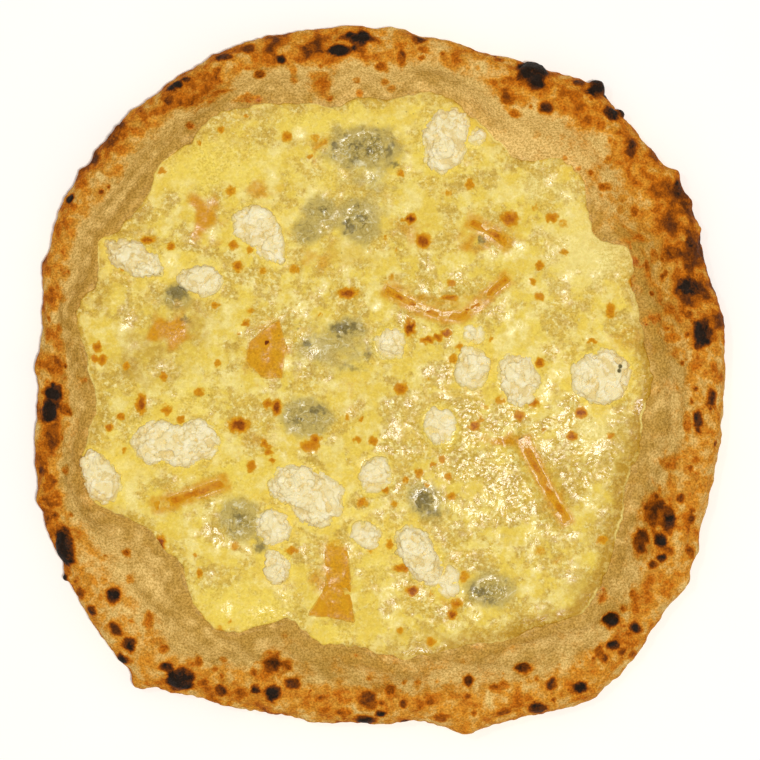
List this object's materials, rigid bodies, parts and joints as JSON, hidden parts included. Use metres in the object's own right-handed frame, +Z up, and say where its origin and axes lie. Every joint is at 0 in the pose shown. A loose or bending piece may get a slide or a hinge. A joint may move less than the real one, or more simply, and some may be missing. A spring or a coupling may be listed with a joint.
{
  "type": "four cheese pizza",
  "caption": "Round hearth-baked pizza with a puffed, charred rim and a melted cheese topping carrying ricotta dollops, blue cheese crumbles and smoked cheese slices.",
  "frame": {"origin": "on the table under the middle of the pizza's footprint", "axes": "+Z up out of the toppings, +Y towards the top of the pizza as it is seen from above, +X to its right"},
  "size_m": [0.311, 0.3184, 0.0242],
  "materials": {
    "crust": "baked dough, tan with toasted and charred spots, dry and matte",
    "mozzarella": "melted cheese, pale yellow with browned spots, wet and glossy",
    "ricotta": "curdled white cheese, cream white, moist and matte",
    "blue_cheese": "crumbled blue cheese, grey green veins in ivory, moist",
    "smoked_cheese": "smoked cheese, amber with a brown rind, satin"
  },
  "bodies": {
    "root": {"crust": "crust", "mozzarella": "mozzarella", "smoked_slice_1": "smoked_cheese", "smoked_slice_2": "smoked_cheese", "smoked_rind_1": "smoked_cheese", "smoked_rind_2": "smoked_cheese", "smoked_rind_3": "smoked_cheese", "smoked_rind_4": "smoked_cheese", "ricotta_1": "ricotta", "ricotta_2": "ricotta", "ricotta_3": "ricotta", "ricotta_4": "ricotta", "ricotta_5": "ricotta", "ricotta_6": "ricotta", "ricotta_7": "ricotta", "ricotta_8": "ricotta", "ricotta_9": "ricotta", "ricotta_10": "ricotta", "ricotta_11": "ricotta", "ricotta_12": "ricotta", "ricotta_13": "ricotta", "ricotta_14": "ricotta", "ricotta_15": "ricotta", "ricotta_16": "ricotta", "ricotta_17": "ricotta", "ricotta_18": "ricotta", "ricotta_19": "ricotta", "ricotta_20": "ricotta", "blue_cheese_1": "blue_cheese", "blue_cheese_2": "blue_cheese", "blue_cheese_3": "blue_cheese", "blue_cheese_4": "blue_cheese", "blue_cheese_5": "blue_cheese", "blue_cheese_6": "blue_cheese", "blue_cheese_7": "blue_cheese", "blue_cheese_8": "blue_cheese", "blue_cheese_9": "blue_cheese", "blue_cheese_10": "blue_cheese"}
  },
  "joints": []
}
